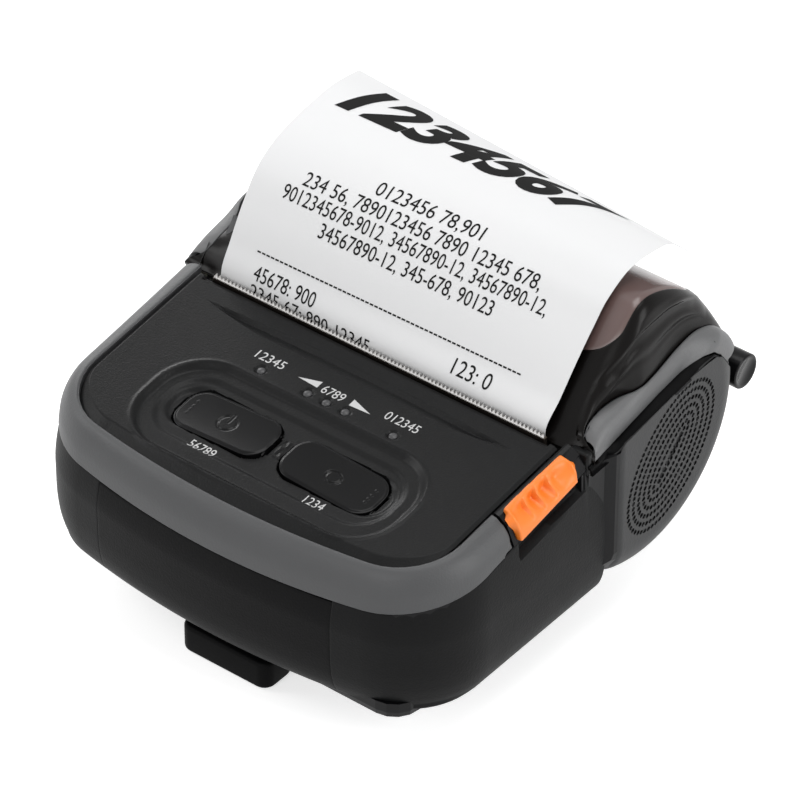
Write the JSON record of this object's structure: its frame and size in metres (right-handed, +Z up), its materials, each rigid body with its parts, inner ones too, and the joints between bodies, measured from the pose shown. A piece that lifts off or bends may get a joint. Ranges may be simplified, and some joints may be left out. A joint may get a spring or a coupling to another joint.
{
  "type": "mobile printer",
  "caption": "Mobile receipt printer with a hinged smoky cover, an orange latch and a printed strip of paper.",
  "frame": {"origin": "on the table, under the middle of the bounding box", "axes": "+X to the right seen from the front, +Y to the rear, +Z up"},
  "size_m": [0.1044, 0.1084, 0.0738],
  "materials": {
    "black_plastic": "satin black moulding",
    "gloss_black": "gloss black moulding",
    "grained_black": "fine grained black panel",
    "grey_plastic": "fine grained dark grey moulding",
    "smoky_plastic": "smoky translucent moulding",
    "window": "clear smoky window",
    "orange_plastic": "orange moulding",
    "steel": "plain sheet steel",
    "spring_steel": "drawn wire",
    "bronze_steel": "bronze toned steel",
    "zinc_screw": "zinc plated",
    "aluminium": "extruded",
    "motor_can": "drawn can",
    "brass": "turned",
    "platen_rubber": "ground rubber",
    "flap_rubber": "moulded rubber",
    "white_nylon": "moulded",
    "thermal_paper": "smooth coated",
    "roll_tube": "pressed board",
    "circuit_board": "green coated",
    "light_pipe": "clear light pipe"
  },
  "bodies": {
    "case": {"lower_shell": "black_plastic", "belly_plate": "gloss_black", "belt_clip": "black_plastic", "case_screw_1": "zinc_screw", "case_screw_2": "zinc_screw", "case_screw_3": "zinc_screw", "case_screw_4": "zinc_screw", "clip_screw_left": "zinc_screw", "clip_screw_right": "zinc_screw", "bezel": "grey_plastic", "latch_housing": "gloss_black", "latch_spring": "spring_steel", "top_panel": "grained_black", "power_switch": "black_plastic", "feed_switch": "black_plastic", "status_led_1": "light_pipe", "status_led_2": "light_pipe", "status_led_3": "light_pipe", "status_led_4": "light_pipe", "status_led_5": "light_pipe", "main_board": "circuit_board", "power_jack": "black_plastic", "usb_port": "steel", "tear_bar": "bronze_steel", "print_head": "aluminium", "head_spring_left": "spring_steel", "head_spring_right": "spring_steel", "mech_frame": "steel", "drive_motor": "motor_can", "idler_pin": "steel", "hinge_pin": "steel", "paper_web": "thermal_paper"},
    "battery": {"battery_pack": "black_plastic"},
    "latch": {"latch_button": "orange_plastic"},
    "bail": {"latch_bail": "steel"},
    "power_key": {"power_button": "grained_black"},
    "feed_key": {"feed_button": "grained_black"},
    "port_flap": {"port_cover": "flap_rubber"},
    "cover": {"cover_frame": "grey_plastic", "cover_shell": "smoky_plastic", "cover_window": "window", "receipt_paper": "thermal_paper", "platen_bush_left": "white_nylon", "platen_bush_right": "white_nylon"},
    "platen": {"platen_roller": "platen_rubber", "platen_shaft": "steel", "platen_gear": "white_nylon"},
    "idler": {"idler_gear": "white_nylon"},
    "pinion": {"motor_pinion": "brass"},
    "roll": {"paper_roll": "thermal_paper", "roll_core": "roll_tube"}
  },
  "joints": [
    {"name": "cover_hinge", "type": "hinge", "parent": "case", "child": "cover", "pos_m": [0, 0.0505, 0.0358], "axis": [-1, 0, 0], "range_deg": [0, 95]},
    {"name": "platen_spin", "type": "hinge", "parent": "cover", "child": "platen", "pos_m": [0, 0.003, 0.0415], "axis": [1, 0, 0], "continuous": true},
    {"name": "idler_spin", "type": "hinge", "parent": "case", "child": "idler", "pos_m": [0, -0.00383, 0.03313], "axis": [1, 0, 0], "continuous": true},
    {"name": "motor_spin", "type": "hinge", "parent": "case", "child": "pinion", "pos_m": [0, -0.005, 0.023], "axis": [1, 0, 0], "continuous": true},
    {"name": "roll_spin", "type": "hinge", "parent": "case", "child": "roll", "pos_m": [0, 0.0235, 0.0333], "axis": [1, 0, 0], "continuous": true},
    {"name": "latch_press", "type": "slide", "parent": "case", "child": "latch", "axis": [0, 0, -1], "range_m": [0, 0.0007], "stiffness_N_per_m": 500, "springref_m": -0.0005, "deforming": ["latch_spring"]},
    {"name": "bail_swing", "type": "hinge", "parent": "case", "child": "bail", "pos_m": [0, -0.0127, 0.019], "axis": [1, 0, 0], "range_deg": [0, 5.3]},
    {"name": "power_press", "type": "slide", "parent": "case", "child": "power_key", "axis": [0, 0.1191, -0.9929], "range_m": [0, 0.0008], "stiffness_N_per_m": 600, "springref_m": -0.0003},
    {"name": "feed_press", "type": "slide", "parent": "case", "child": "feed_key", "axis": [0, 0.1191, -0.9929], "range_m": [0, 0.0008], "stiffness_N_per_m": 600, "springref_m": -0.0003},
    {"name": "battery_slide", "type": "slide", "parent": "case", "child": "battery", "axis": [0, -1, 0], "range_m": [0, 0.042]},
    {"name": "flap_hinge", "type": "hinge", "parent": "case", "child": "port_flap", "pos_m": [-0.05035, 0, 0.0187], "axis": [0, -1, 0], "range_deg": [0, 90]}
  ],
  "couplings": [
    {"joint": "idler_spin", "follows": "platen_spin", "ratio": -0.5},
    {"joint": "motor_spin", "follows": "platen_spin", "ratio": 1.2},
    {"joint": "roll_spin", "follows": "platen_spin", "ratio": 0.20588},
    {"joint": "bail_swing", "follows": "latch_press", "rad_per_m": 126.58}
  ]
}
